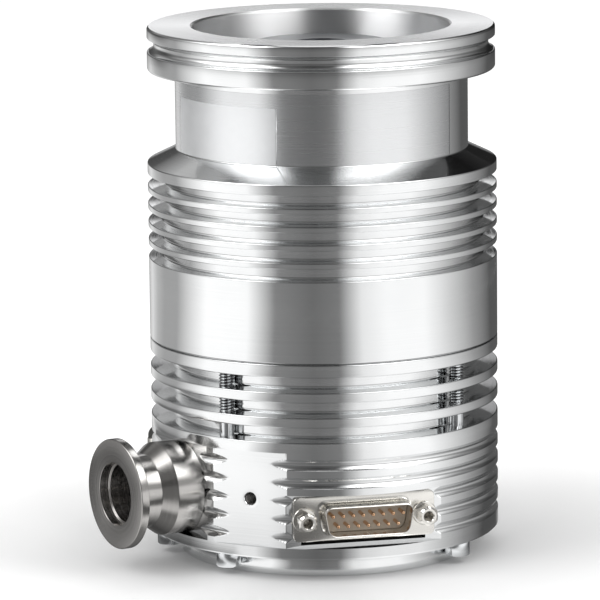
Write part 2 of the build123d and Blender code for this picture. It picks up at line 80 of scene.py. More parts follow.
def skin(name, grid, u, v, wrap_u=False, wrap_v=False, smooth=28.0):
    """A mesh over grids of points in millimetres: square (i, j) joins points i and i+1 across
    and j and j+1 along, and a wrapped side returns to point 0. u and v are metres along the
    two sides for the map. Points that meet are merged, so poles and seams close."""
    grid = np.asarray(grid, float)
    grid = grid.reshape((-1,) + grid.shape[-3:])
    copies, nu, nv = grid.shape[:3]
    cu, cv = nu if wrap_u else nu - 1, nv if wrap_v else nv - 1
    i, j = np.meshgrid(np.arange(cu), np.arange(cv), indexing="ij")
    i2, j2 = (i + 1) % nu, (j + 1) % nv
    quads = np.stack([i * nv + j, i2 * nv + j, i2 * nv + j2, i * nv + j2], -1).reshape(-1, 4)
    quads = (quads[None] + (np.arange(copies) * nu * nv)[:, None, None]).reshape(-1, 4)
    u, v = np.asarray(u), np.asarray(v)
    uv = np.stack([np.stack([u[i], u[i + 1], u[i + 1], u[i]], -1),
                   np.stack([v[j], v[j], v[j + 1], v[j + 1]], -1)], -1).reshape(-1, 2)
    mesh = bpy.data.meshes.new(name)
    mesh.from_pydata(grid.reshape(-1, 3) * MM, [], quads)
    mesh.uv_layers.new(name="UVMap").data.foreach_set("uv", np.tile(uv, (copies, 1)).ravel())
    work = bmesh.new()
    work.from_mesh(mesh)
    bmesh.ops.remove_doubles(work, verts=work.verts, dist=2e-7)
    work.to_mesh(mesh)
    work.free()
    mesh.polygons.foreach_set("use_smooth", np.ones(len(mesh.polygons), bool))
    mesh.set_sharp_from_angle(angle=math.radians(smooth))
    piece = bpy.data.objects.new(name, mesh)
    bpy.context.scene.collection.objects.link(piece)
    return piece


def turned(name, profile, around=360):
    """A turning about the pump axis: profile point (r, z) at heading a stands at
    (r sin a, -r cos a, z). The profile runs out along the bottom, up, and in over the top."""
    profile = np.asarray(profile, float)
    a = np.radians(np.linspace(0, 360, around, endpoint=False))
    r, z = profile[:, 0][None], profile[:, 1][None]
    u = np.append(a, 2 * math.pi) * float(profile[:, 0].max()) * MM
    return skin(name, about_axis(r, a[:, None], z), u, along(profile), wrap_u=True)


def noise(tree, source, scale, detail, size=(1, 1, 1)):
    """Noise read from a coordinate output after it is stretched by size."""
    place = tree.nodes.new("ShaderNodeMapping")
    place.inputs["Scale"].default_value = size
    tree.links.new(source, place.inputs["Vector"])
    field = tree.nodes.new("ShaderNodeTexNoise")
    field.inputs["Scale"].default_value = scale
    field.inputs["Detail"].default_value = detail
    tree.links.new(place.outputs["Vector"], field.inputs["Vector"])
    return field.outputs["Fac"]


def spread(tree, value, low, high, lowest=0.3, highest=0.7):
    """A value between lowest and highest laid out evenly from low to high."""
    lay = tree.nodes.new("ShaderNodeMapRange")
    for slot, number in zip(("From Min", "From Max", "To Min", "To Max"), (lowest, highest, low, high)):
        lay.inputs[slot].default_value = number
    tree.links.new(value, lay.inputs["Value"])
    return lay.outputs["Result"]


def shade(tree, value, dark, light):
    """Two colours mixed by a value."""
    mix = tree.nodes.new("ShaderNodeMix")
    mix.data_type = "RGBA"
    mix.inputs["A"].default_value = (*dark, 1)
    mix.inputs["B"].default_value = (*light, 1)
    tree.links.new(value, mix.inputs["Factor"])
    return mix.outputs["Result"]


def worked(tree, operation, *terms):
    """One step of arithmetic on terms that are outputs or plain numbers."""
    step = tree.nodes.new("ShaderNodeMath")
    step.operation = operation
    for slot, term in zip(step.inputs, terms):
        if isinstance(term, (int, float)):
            slot.default_value = term
        else:
            tree.links.new(term, slot)
    return step.outputs[0]


def machined(name, dark, light, rough, grain, depth, stretch=0.55, fine=2600.0, across=6.0,
             cad=False):
    """Bare metal with tool marks. The marks are noise drawn out along the cut: across the map's
    u on turned pieces, about the pump axis on pieces without a map. They give colour, roughness
    and height, and the sheen is drawn out square to them."""
    metal = bpy.data.materials.new(name)
    metal.use_nodes = True
    tree = metal.node_tree
    shader = tree.nodes["Principled BSDF"]
    place = tree.nodes.new("ShaderNodeTexCoord")
    source = place.outputs["Object" if cad else "UV"]
    size = (60, 60, fine) if cad else (across, fine, 1)
    marks = noise(tree, source, 1.0, 3.0, size)
    cloud = noise(tree, place.outputs["Object"], 38.0, 4.0)
    shader.inputs["Metallic"].default_value = 1.0
    shader.inputs["Anisotropic"].default_value = stretch
    shader.inputs["Anisotropic Rotation"].default_value = 0.25
    tint = worked(tree, "MULTIPLY_ADD", marks, 0.6, spread(tree, cloud, 0.0, 0.4))
    tree.links.new(shade(tree, tint, dark, light), shader.inputs["Base Color"])
    tree.links.new(spread(tree, marks, rough - grain, rough + grain), shader.inputs["Roughness"])
    bump = tree.nodes.new("ShaderNodeBump")
    bump.inputs["Strength"].default_value = depth
    bump.inputs["Distance"].default_value = 0.00003
    tree.links.new(marks, bump.inputs["Height"])
    tree.links.new(bump.outputs["Normal"], shader.inputs["Normal"])
    drawn = tree.nodes.new("ShaderNodeTangent")
    if cad:
        drawn.direction_type, drawn.axis = "RADIAL", "Z"
    else:
        drawn.direction_type, drawn.uv_map = "UV_MAP", "UVMap"
    tree.links.new(drawn.outputs["Tangent"], shader.inputs["Tangent"])
    return metal


def finish_piece(piece, body, slot, metal, *stands_for):
    """Gives a piece its material, the body it rides on and the CAD nodes it stands for."""
    piece.data.materials.clear()
    piece.data.materials.append(metal)
    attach(piece, body)
    if stands_for:
        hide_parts(*stands_for)


turned_aluminium = machined("turned aluminium", (0.78, 0.79, 0.795), (0.90, 0.905, 0.905),
                            0.11, 0.05, 0.14, stretch=0.75)
faced_aluminium = machined("faced aluminium", (0.82, 0.83, 0.835), (0.93, 0.935, 0.935),
                           0.22, 0.03, 0.06, stretch=0.93, fine=4000.0)
bored_aluminium = machined("bored aluminium", (0.90, 0.905, 0.91), (0.97, 0.97, 0.97),
                           0.38, 0.04, 0.05, stretch=0.96)

SEAM_DEEP, SEAM_H = 1.6, 0.35           # shadow line where the two housings meet
BAND_TOP, RIM_BOT, RIM_TOP = 81.9, 104.9, 107.85
FINS = (85.3, 90.2, 95.1, 100.0)        # undersides of the thin fins
FIN_T, DEEP_R, SHALLOW_R = 1.65, 42.4, 43.5
CORNER, ROOT_SOFT, EDGE_SOFT, BORE_SOFT = 0.5, 0.7, 0.3, 0.22
outline = [(STACK_R, JOINT_Z), (BODY_R - SEAM_DEEP, JOINT_Z), (BODY_R - SEAM_DEEP, JOINT_Z + SEAM_H),
           (BODY_R, JOINT_Z + SEAM_H), (BODY_R, BAND_TOP), (SHALLOW_R, BAND_TOP)]
for k, low in enumerate(FINS):
    under, over = DEEP_R if k == 3 else SHALLOW_R, DEEP_R if k >= 2 else SHALLOW_R
    outline += [(under, low), (BODY_R, low), (BODY_R, low + FIN_T), (over, low + FIN_T)]
outline += [(DEEP_R, RIM_BOT), (BODY_R, RIM_BOT), (BODY_R, RIM_TOP), (NECK_R, NECK_BOT),
            (NECK_R, FLANGE_BOT), (FLANGE_R - CORNER, FLANGE_BOT), (FLANGE_R, FLANGE_BOT + CORNER)]
# the clamp groove is a half round whose centre lies just outside the rim
GROOVE_Z, GROOVE_R, GROOVE_OUT = TOP_Z - 5.0, 1.95, 0.1
half_turn = np.radians(np.linspace(-92, -268, 12))
outline += list(zip(FLANGE_R + GROOVE_OUT + GROOVE_R * np.cos(half_turn),
                    GROOVE_Z + GROOVE_R * np.sin(half_turn)))
outline += [(FLANGE_R, TOP_Z - CORNER), (FLANGE_R - CORNER, TOP_Z)]
outline = [(min(r, FLANGE_R) if z > FLANGE_BOT + 1 else r, z) for r, z in outline]
round_off = [ROOT_SOFT if DEEP_R <= r <= SHALLOW_R and z < NECK_BOT - 1 else EDGE_SOFT
             for r, z in outline]
housing = turned("inlet_housing_turning", eased(outline, round_off, 4))
finish_piece(housing, "housing", "aluminium_turned", turned_aluminium, "inlet_housing")
face = turned("inlet_sealing_face", [(FLANGE_R - CORNER, TOP_Z), (INLET_R + CORNER, TOP_Z)])
finish_piece(face, "housing", "aluminium_turned", faced_aluminium)
bore = [(INLET_R + CORNER, TOP_Z), (INLET_R, TOP_Z - CORNER), (INLET_R, STACK_TOP),
        (STACK_R, STACK_TOP), (STACK_R, JOINT_Z)]
bore_wall = turned("inlet_bore_wall", eased(bore, BORE_SOFT))
finish_piece(bore_wall, "housing", "aluminium_turned", bored_aluminium)

# ---- lower housing ----
# Also an aluminium turning, with four thick fins round the motor and shallow
# vee grooves below. Seats for the side port, an accessory, the vent and the
# connector are milled flat through the grooves.
BASE_TOP, CORE_R, LOWER_BORE_R = 6.15, 41.0, 34.2
FLAT_BOT, FLAT_TOP = 9.3, 35.5
PORT_HEADING, PORT_FLAT, PORT_Z = -72.4, 45.8, 22.1
SPARE_HEADING, SPARE_FLAT = -39.45, 46.5
VENT_HEADING, VENT_Z = -126.4, 18.5
PLUG_FLAT, PLUG_Z, PLUG_TOP = 42.65, 17.1, 23.8
VEES = np.array([12.2, 17.2, 22.2, 27.2, 32.2])
VEE_DEEP, VEE_HALF, VEE_POWER = 0.88, 1.55, 1.8     # round-bottomed grooves with sharp lips
PORT_HOLE_R, SPARE_HOLE_R, SPARE_HOLE_DEEP = 9.35, 2.0, 9.5
SLOT_HALF, SLOT_BOT, SLOT_TOP, SLOT_DEEP = 16.6, 9.9, 11.6, 3.4
CHAMFER = 0.5

# rows of points stand close together at every edge that the milling leaves, and
# columns at the ends of the seats and round the two holes
half_groove = np.array([0.2, 0.4, 0.6, 0.8, 1, 1.2, 1.4, VEE_HALF, 1.6])
levels = np.concatenate([
    [BASE_TOP, BASE_TOP + 0.12, BASE_TOP + CHAMFER, FLAT_BOT - 0.01, FLAT_BOT + 0.01,
     SLOT_BOT - 0.02, SLOT_BOT + 0.02, SLOT_TOP - 0.02, SLOT_TOP + 0.02,
     FLAT_TOP - 0.35, FLAT_TOP - 0.1, PLUG_TOP - 0.02, PLUG_TOP + 0.02],
    (VEES[:, None] + np.concatenate([-half_groove, [0], half_groove])[None]).ravel(),
    np.linspace(PORT_Z - 2.5, PORT_Z + 2.5, 24)])
levels = np.unique(np.round(levels, 3))
across_edges = [h + s * (half + d) for h, half in ((PORT_HEADING, 16.2), (SPARE_HEADING, 11.5),
                                                   (VENT_HEADING, 16.2), (0.0, 26.0))
                for s in (-1, 1) for d in np.arange(-3.5, 3.5, 0.25)]
headings = np.unique(np.round(np.concatenate([np.arange(-180, 180, 1.0), across_edges,
                                              np.arange(-42.6, -36.3, 0.2),
                                              np.arange(-86, -58, 0.5)]), 2))
a = np.radians(headings)[:, None]
z = levels[None]
vee = np.abs(z[:, :, None] - VEES).min(-1)
groove = VEE_DEEP * np.clip(1 - (vee / VEE_HALF) ** VEE_POWER, 0, 1)
foot_chamfer = CHAMFER * np.clip((BASE_TOP + CHAMFER - z) / CHAMFER, 0, 1)
radius = BODY_R - groove - foot_chamfer + 0 * a
for heading, seat, low, high in ((PORT_HEADING, PORT_FLAT, FLAT_BOT, FLAT_TOP - 0.2),
                                 (SPARE_HEADING, SPARE_FLAT, FLAT_BOT, FLAT_TOP - 0.2),
                                 (VENT_HEADING, PORT_FLAT, FLAT_BOT, FLAT_TOP - 0.2),
                                 (0.0, PLUG_FLAT, FLAT_BOT, PLUG_TOP)):
    turn = (a - math.radians(heading) + math.pi) % (2 * math.pi) - math.pi
    flat = np.where(np.abs(turn) < 1.0, seat / np.cos(np.clip(turn, -1, 1)), 999.0)
    radius = np.where((z > low) & (z < high), np.minimum(radius, flat), radius)
    level = seat * np.tan(np.clip(turn, -1, 1))
    if heading == PORT_HEADING:
        inside = np.hypot(level, z - PORT_Z) < PORT_HOLE_R
        radius = np.where(inside & (np.abs(turn) < 1), LOWER_BORE_R / np.cos(turn * 0.9), radius)
    if heading == SPARE_HEADING:
        inside = np.hypot(level, z - PORT_Z) < SPARE_HOLE_R
        radius = np.where(inside & (np.abs(turn) < 1), seat - SPARE_HOLE_DEEP, radius)
    if heading == 0.0:
        slot = (np.abs(level) < SLOT_HALF) & (z > SLOT_BOT) & (z < SLOT_TOP)
        radius = np.where(slot & (np.abs(turn) < 1), (seat - SLOT_DEEP) / np.cos(turn), radius)
wall = skin("lower_housing_wall", about_axis(radius, a, z),
            np.append(a[:, 0], a[0, 0] + 2 * math.pi) * BODY_R * MM,
            along(np.stack([0 * levels, levels], -1)), wrap_u=True, smooth=24)
finish_piece(wall, "housing", "aluminium_turned", turned_aluminium, "lower_housing")

underside = turned("lower_housing_underside", [(LOWER_BORE_R, BASE_TOP), (BODY_R - CHAMFER, BASE_TOP)])
finish_piece(underside, "housing", "aluminium_turned", turned_aluminium)
THICK_FINS, THICK_FIN_T = (35.5, 42.3, 49.1, 55.9), 2.75    # undersides of the thick fins
CORE_SOFT, LIP_SOFT = 0.8, 0.35
outline = [(BODY_R, FLAT_TOP - 0.1)]
for low, following in zip(THICK_FINS, THICK_FINS[1:]):
    outline += [(BODY_R, low + THICK_FIN_T), (CORE_R, low + THICK_FIN_T),
                (CORE_R, following), (BODY_R, following)]
outline += [(BODY_R, JOINT_Z), (STACK_R, JOINT_Z), (34.0, JOINT_Z - 1)]
round_off = [CORE_SOFT if r == CORE_R else LIP_SOFT for r, z in outline]
deep_fins = turned("lower_housing_fins", eased(outline, round_off, 4))
finish_piece(deep_fins, "housing", "aluminium_turned", turned_aluminium)


def beside(grid, heading, dist, z):
    """Points given as (level, up, out) moved to a seat: level runs square to the heading,
    out along it from dist, and up from z."""
    h = math.radians(heading)
    level, up, out = grid[..., 0], grid[..., 1], grid[..., 2] + dist
    return np.stack([level * math.cos(h) + out * math.sin(h),
                     level * math.sin(h) - out * math.cos(h), up + z], -1)


def round_about(around):
    """Angles of a full turn, as a column."""
    return np.linspace(0, 2 * math.pi, around, endpoint=False)[:, None]


def swept(r, a, s):
    """Points at radius r and angle a about an axis, s along it: (r cos a, r sin a, s)."""
    return np.stack([r * np.cos(a), r * np.sin(a), s + 0 * a], -1)


def lathed(profile, around=96):
    """Grid of a small turning: its profile's points (r, s) swept about the axis."""
    profile = np.asarray(profile, float)
    return swept(profile[:, 0][None], round_about(around), profile[:, 1][None])


def side_turning(name, profile, heading, dist, z, around=96, closed=False):
    """A small turning whose axis points out along a heading."""
    profile = np.asarray(profile, float)
    u = np.linspace(0, 2 * math.pi, around + 1) * profile[:, 0].max() * MM
    return skin(name, beside(lathed(profile, around), heading, dist, z), u,
                along(profile, closed), wrap_u=True, wrap_v=closed)


# the tapped accessory hole: a chamfer, then thread turns 0.7 mm apart
THREAD_PITCH, THREAD_R, THREAD_TALL, THREAD_LONG = 0.7, 1.5, 0.2, 8.0
turns = np.arange(0, THREAD_LONG, THREAD_PITCH / 8)
thread = THREAD_R + THREAD_TALL * np.abs(((turns / THREAD_PITCH) % 1) * 2 - 1)
mouth = [(1.72, -0.28)] + list(zip(thread, -0.6 - turns)) + [(THREAD_R, -8.2), (0, -9.0)]
hole = side_turning("accessory_hole", mouth, SPARE_HEADING, SPARE_FLAT, PORT_Z, 48)
hole.data.flip_normals()
# the hole's metal is darkened: painted shade inside the tapped hole
thread_painted_shade = machined("thread in shade", (0.16, 0.155, 0.15), (0.62, 0.61, 0.60), 0.28, 0.06, 0.2,
                        stretch=0.3)
finish_piece(hole, "housing", "aluminium_turned", thread_painted_shade)
outline = [(2.75, 0.012), (1.92, 0.012), (1.86, 0.0), (1.72, -0.16), (1.72, -0.3)]
lip = side_turning("accessory_hole_lip", outline, SPARE_HEADING, SPARE_FLAT, PORT_Z, 48)
lip.data.flip_normals()
finish_piece(lip, "housing", "aluminium_turned", turned_aluminium)

# ---- base cover ----
# A round aluminium plate under the lower housing, which the pump stands on.
# Its underside is left plain and closes in the M3 screws that hold it.
COVER_R, COVER_EDGE = 40.0, 0.25
outline = [(0, 0), (COVER_R - COVER_EDGE, 0), (COVER_R, COVER_EDGE), (COVER_R, BASE_TOP),
           (LOWER_BORE_R, BASE_TOP)]
cover = turned("base_cover_plate", eased(outline, 0.12), around=240)
finish_piece(cover, "housing", "aluminium_turned", turned_aluminium, "base_cover")

# ---- screws ----
# Zinc-plated cap screws. Four long ones rise from the base through the thick
# fins, plain below and threaded above, and a short one beside them takes the
# earth lead. Each head has a hexagon socket underneath.
zinc = machined("bright zinc plate", (0.62, 0.64, 0.65), (0.84, 0.85, 0.86), 0.10, 0.03, 0.05,
                stretch=0.2, fine=900.0)
SCREW_RING, SCREW_HEADINGS, EARTH_HEADING = 43.6, (-50.9, 41.4, 129.1, 221.4), -94.4
SHANK_R, SOCKET_R, SCREW_PITCH, CREST_R, THREAD_DEEP = 2.0, 1.7, 0.8, 2.05, 0.5
GIRTH = 0.0126                          # round the shank, in metres


def hexagon(a):
    """Radius at angle a of a hexagon whose flats lie 1 from its centre: 1 over the cosine of
    the angle to the nearest flat."""
    return 1.0 / np.cos((a + math.pi / 6) % (math.pi / 3) - math.pi / 6)


HALFWAY = 1.075                         # between that hexagon's flats and its corners


def cap_screw(top, threaded_from, around=48):
    """One cap screw about its own axis, with its head under the housing. The socket follows a
    hexagon, and above threaded_from the shank's radius falls from the crest by the thread's
    depth times |2 frac(z / pitch - a / 2 pi) - 1|."""
    a = round_about(around)
    head = np.array([(0, 4.3), (SOCKET_R, 4.3), (SOCKET_R, 2.25), (1.85, 2.15), (3.1, 2.15),
                     (3.38, 2.4), (3.4, 2.6), (3.4, 5.8), (3.3, 6.13), (SHANK_R, 6.14)])
    plain = np.array([(SHANK_R, 6.3), (SHANK_R, threaded_from)])
    rows = np.arange(threaded_from + 0.05, top, 0.1)
    profile = np.vstack([head, plain, np.stack([SHANK_R + 0 * rows, rows], -1), [(0, top)]])
    r, z = profile[:, 0][None] + 0 * a, profile[:, 1][None] + 0 * a
    index = np.arange(len(profile))[None]
    r = np.where((index >= 1) & (index <= 2), SOCKET_R / HALFWAY * hexagon(a), r)
    helix = CREST_R - THREAD_DEEP * np.abs(((z / SCREW_PITCH - a / (2 * math.pi)) % 1) * 2 - 1)
    r = np.where((z > threaded_from + 0.04) & (z < top - 0.01), helix, r)
    return about_axis(r, a, z), along(profile)


def stood(grid, headings, ring):
    """Copies of an upright grid on a circle about the pump axis."""
    h = np.radians(np.atleast_1d(headings))[:, None, None]
    return np.stack([grid[None, ..., 0] + ring * np.sin(h), grid[None, ..., 1] - ring * np.cos(h),
                     grid[None, ..., 2] + 0 * h], -1)


def scaled(tree, colour, factor):
    """A colour times a value."""
    step = tree.nodes.new("ShaderNodeVectorMath")
    step.operation = "SCALE"
    tree.links.new(colour, step.inputs[0])
    tree.links.new(factor, step.inputs["Scale"])
    return step.outputs[0]


LONG_TOP, LONG_THREAD, SHORT_TOP, SHORT_THREAD = 60.5, 44.4, 8.0, 7.0
grid, v = cap_screw(LONG_TOP, LONG_THREAD)
# painted shade darkens the roots of the thread, along the same helix as its shape: v gives
# the height above the first threaded row and u the angle
first = int(np.argmax(grid[0, :, 2] > LONG_THREAD))
pitch_m = SCREW_PITCH * MM
tree = zinc.node_tree
place = tree.nodes.new("ShaderNodeTexCoord")
part = tree.nodes.new("ShaderNodeSeparateXYZ")
tree.links.new(place.outputs["UV"], part.inputs["Vector"])
climb = worked(tree, "MULTIPLY_ADD", part.outputs["Y"], 1 / pitch_m,
               grid[0, first, 2] / SCREW_PITCH - v[first] / pitch_m)
wind = worked(tree, "MULTIPLY_ADD", part.outputs["X"], -1 / GIRTH, climb)
swing = worked(tree, "PINGPONG", wind, 0.5)
threaded = worked(tree, "GREATER_THAN", part.outputs["Y"], float(v[first]))
root_painted_shade = worked(tree, "MULTIPLY_ADD", spread(tree, swing, -0.88, 0.0, 0.0, 0.34), threaded, 1.0)
base_colour = tree.nodes["Principled BSDF"].inputs["Base Color"]
tree.links.new(scaled(tree, base_colour.links[0].from_socket, root_painted_shade), base_colour)
long_screws = skin("long_screws", stood(grid, SCREW_HEADINGS, SCREW_RING),
                   np.linspace(0, GIRTH, 49), v, wrap_u=True)
finish_piece(long_screws, "housing", "zinc_steel", zinc, "housing_screws")
grid, v = cap_screw(SHORT_TOP, SHORT_THREAD)
earth = skin("earth_lead_screw", stood(grid, EARTH_HEADING, SCREW_RING),
             np.linspace(0, GIRTH, 49), v, wrap_u=True)
finish_piece(earth, "housing", "zinc_steel", zinc, "earth_screw")

# ---- foreline port ----
# A small-flange tube turned from stainless bar, pressed into its milled seat on
# a rubber ring. A clamp ring goes over the tapered back of its flange.
PORT_FACE, PORT_BACK, RECESS_BACK = 66.5, 33.6, 63.7
PORT_BORE_R, TUBE_R, PORT_BODY_R, PORT_NECK_R = 8.0, 9.3, 12.7, 10.0
PORT_RIM_R, RECESS_R = 15.0, 8.65
stainless = machined("turned stainless", (0.42, 0.408, 0.394), (0.56, 0.546, 0.53), 0.19, 0.03, 0.08,
                     stretch=0.92)
outline = [(PORT_BORE_R, PORT_BACK), (TUBE_R, PORT_BACK), (TUBE_R, 45.7), (PORT_BODY_R, 45.82),
           (PORT_BODY_R, 53.7), (PORT_NECK_R, 57.4), (PORT_NECK_R, 62.76), (PORT_RIM_R, 64.1),
           (PORT_RIM_R, PORT_FACE - 0.2), (PORT_RIM_R - 0.2, PORT_FACE), (RECESS_R, PORT_FACE),
           (RECESS_R, RECESS_BACK), (PORT_BORE_R, RECESS_BACK)]
port = side_turning("foreline_port_tube", eased(outline, 0.2, closed=True), PORT_HEADING, 0.0,
                    PORT_Z, 160, closed=True)
finish_piece(port, "housing", "stainless", stainless, "foreline_port")

# ---- vent ----
# A nickel-plated fitting at the left, with an upright stub closed by a soft
# black cap that pulls off.
VENT_OUT, VENT_TOP, STUB_BOT, STUB_R, VENT_BORE_R = 50.9, 26.5, 15.6, 2.9, 1.5
CAP_R, STEM_R, STEM_LONG = 2.65, 1.42, 5
NUT_R, NUT_T = 4.5, 1.6
nickel = machined("nickel plate", (0.70, 0.68, 0.64), (0.90, 0.88, 0.84), 0.18, 0.05, 0.15,
                  stretch=0.2, fine=700.0)


def moulded(name, fine, detail, dark, light, smoothest, roughest):
    """A material without tool marks: noise gives its colour and its roughness."""
    stuff = bpy.data.materials.new(name)
    stuff.use_nodes = True
    tree = stuff.node_tree
    place = tree.nodes.new("ShaderNodeTexCoord")
    speckle = noise(tree, place.outputs["Object"], fine, detail)
    shader = tree.nodes["Principled BSDF"]
    tree.links.new(shade(tree, speckle, dark, light), shader.inputs["Base Color"])
    tree.links.new(spread(tree, speckle, smoothest, roughest), shader.inputs["Roughness"])
    return stuff


black_cap = moulded("soft black plastic", 900.0, 3.0, (0.018, 0.018, 0.016), (0.05, 0.05, 0.045),
                    0.32, 0.5)
h = math.radians(VENT_HEADING)
vent_axis = np.array([VENT_OUT * math.sin(h), -VENT_OUT * math.cos(h), 0])
stub = eased([(0, STUB_BOT), (STUB_R, STUB_BOT), (STUB_R, VENT_TOP - 0.3), (2.6, VENT_TOP),
              (VENT_BORE_R, VENT_TOP), (VENT_BORE_R, 20)], 0.2)
stub_piece = skin("vent_stub", lathed(stub, 64) + vent_axis, np.linspace(0, 0.018, 65),
                  along(stub), wrap_u=True)
finish_piece(stub_piece, "housing", "nickel", nickel, "vent_elbow")
a = round_about(48)
rows = np.array([(0, 0), (NUT_R, 0), (NUT_R, 1.4), (4.3, NUT_T), (STUB_R, NUT_T), (STUB_R, 5.1)])
hexed = np.where(rows[:, 0][None] > 4,
                 rows[:, 0][None] * math.cos(math.pi / 6) * hexagon(a + math.pi / 6),
                 rows[:, 0][None])
grid = beside(swept(hexed, a, rows[:, 1][None]), VENT_HEADING, PORT_FLAT, VENT_Z)
nut = skin("vent_hexagon", grid, np.linspace(0, 0.028, 49), along(rows), wrap_u=True)
finish_piece(nut, "housing", "nickel", nickel)
t = np.radians(np.linspace(0, 90, 10))
dome = np.concatenate([[(0, VENT_TOP - STEM_LONG), (STEM_R, VENT_TOP - STEM_LONG),
                        (STEM_R, VENT_TOP + 0.02), (CAP_R - 0.1, VENT_TOP + 0.02),
                        (CAP_R, VENT_TOP + 0.12)],
                       np.stack([CAP_R * np.cos(t), VENT_TOP + 0.6 + CAP_R * np.sin(t)], -1)])
grid = lathed(dome, 48) + vent_axis
cap = skin("vent_cap_moulding", grid, np.linspace(0, 0.0167, 49), along(dome), wrap_u=True)
finish_piece(cap, "vent_cap", "black_plastic", black_cap, "vent_cap")

# ---- control connector ----
# A 15-way sub-D plug: a pressed and plated shell, a moulded insulator with two
# rows of gold-flashed pins, and hexagonal jack-screws through the flange.
PLATE_W, PLATE_H, SHEET = 39.1, 12.3, 1.3
SHELL_W, SHELL_H, SHELL_OUT = 25.2, 8.4, 7.2


def ring_of(width, height, soft, lean=0.0, steps=7):
    """A rounded loop of a rectangle or, with a lean in degrees, of the connector's D, whose
    ends come in towards the bottom by height times tan(lean)."""
    w, b = width / 2, height / 2
    step = height * math.tan(math.radians(lean))
    corners = [(w, b), (-w, b), (-w + step, -b), (w - step, -b)]
    return eased(corners, soft, steps, closed=True)


def lofted(name, loops):
    """Loops of one outline, each at its distance s from the connector's seat, joined into one
    skin."""
    grid = np.stack([np.column_stack([loop, np.full(len(loop), s)]) for loop, s in loops], 1)
    first = np.vstack([loops[0][0], loops[0][0][:1]])
    u = np.concatenate([[0], np.cumsum(np.linalg.norm(np.diff(first, axis=0), axis=1))]) * MM
    v = np.arange(len(loops)) * 0.001
    return skin(name, beside(grid, 0.0, PLUG_FLAT, PLUG_Z), u, v, wrap_u=True)


def d_loop(inset):
    """The shell's D, drawn in by an inset."""
    return ring_of(SHELL_W - 2 * inset, SHELL_H - 2 * inset, 2.6 - inset, 10.0)


def plate_loop(inset):
    """The flange's outline, drawn in by an inset."""
    return ring_of(PLATE_W - 2 * inset, PLATE_H - 2 * inset, 1.8)


shell = lofted("connector_shell_pressing", [
    (plate_loop(0), 0.0), (plate_loop(0), 0.95), (plate_loop(0.1), 1.18), (plate_loop(0.35), SHEET),
    (d_loop(-1.1), SHEET), (d_loop(-0.55), 1.42), (d_loop(-0.15), 1.75), (d_loop(0), 2.3),
    (d_loop(0), SHELL_OUT - 0.3), (d_loop(0.08), SHELL_OUT - 0.08), (d_loop(0.22), SHELL_OUT),
    (d_loop(0.38), SHELL_OUT - 0.08), (d_loop(0.45), SHELL_OUT - 0.3), (d_loop(0.45), 1.2),
    (d_loop(0.9), 1.0)])
shell_plate = machined("plated connector shell", (0.70, 0.68, 0.64), (0.90, 0.88, 0.84), 0.24, 0.05,
                       0.16, stretch=0.0, fine=500.0, across=500.0)
finish_piece(shell, "housing", "nickel", shell_plate, "connector_shell")


def closed_up(piece):
    """Fills the open ends of a skin with flat faces and turns all its faces outwards."""
    work = bmesh.new()
    work.from_mesh(piece.data)
    bmesh.ops.holes_fill(work, edges=[e for e in work.edges if e.is_boundary], sides=0)
    bmesh.ops.recalc_face_normals(work, faces=work.faces)
    work.to_mesh(piece.data)
    work.free()
    return piece


resin = moulded("moulded resin", 1400.0, 4.0, (0.44, 0.385, 0.31), (0.58, 0.515, 0.43), 0.42, 0.6)
block = closed_up(lofted("connector_insulator_block", [
    (d_loop(0.5), 0.6), (d_loop(0.5), 1.55), (d_loop(0.65), 1.7), (d_loop(2.0), 1.7),
    (d_loop(2.6), 1.7)]))
finish_piece(block, "housing", "insulator_resin", resin, "connector_insulator")

# a dull black strip of painted shade closes the relief below the shell's flange
shade_strip_black = moulded("black painted shade", 2500.0, 3.0, (0.003, 0.003, 0.003), (0.010, 0.010, 0.010), 0.85, 0.95)
shade_strip_black.node_tree.nodes["Principled BSDF"].inputs["Specular IOR Level"].default_value = 0.1
STRIP_HALF, STRIP_TALL, STRIP_BACK, STRIP_Z = 16.4, 1.7, 0.9, 10.75
bar = np.array([(-0.5, -1), (0.5, -1), (0.5, 0), (-0.5, 0)]) * (STRIP_TALL, STRIP_BACK)
ends = np.array([(0, -STRIP_BACK / 2)] * 4)
bars = np.stack([np.column_stack([np.full(4, x), shape])
                 for x, shape in ((-STRIP_HALF, ends), (-STRIP_HALF, bar),
                                  (STRIP_HALF, bar), (STRIP_HALF, ends))], 1)
shade_strip = closed_up(skin("connector_painted_shade_strip", beside(bars, 0.0, PLUG_FLAT - 0.3, STRIP_Z),
                        [0, 0.0017, 0.0026, 0.0043, 0.0052], [0, 0.0009, 0.0337, 0.0346],
                        wrap_u=True))
finish_piece(shade_strip, "housing", "black_plastic", shade_strip_black)

gold = machined("gold flash", (0.62, 0.36, 0.20), (0.92, 0.64, 0.42), 0.14, 0.04, 0.06, stretch=0.0)
PIN_R, PIN_STRAIGHT, PITCH, ROWS = 0.5, 5.8, 2.76, 2.84
tip = np.radians(np.linspace(0, 90, 6))
pin = np.concatenate([[(PIN_R, 1.0)],
                      np.stack([PIN_R * np.cos(tip), PIN_STRAIGHT + PIN_R * np.sin(tip)], -1)])
places = np.array([((k - 3.5) * PITCH, ROWS / 2, 0) for k in range(8)]
                  + [((k - 3) * PITCH, -ROWS / 2, 0) for k in range(7)])
grid = lathed(pin, 20)[None] + places[:, None, None, :]
pins = skin("connector_pin_set", beside(grid, 0.0, PLUG_FLAT, PLUG_Z), np.linspace(0, 0.0031, 21),
            along(pin), wrap_u=True)
finish_piece(pins, "housing", "gold_contact", gold, "connector_pins")

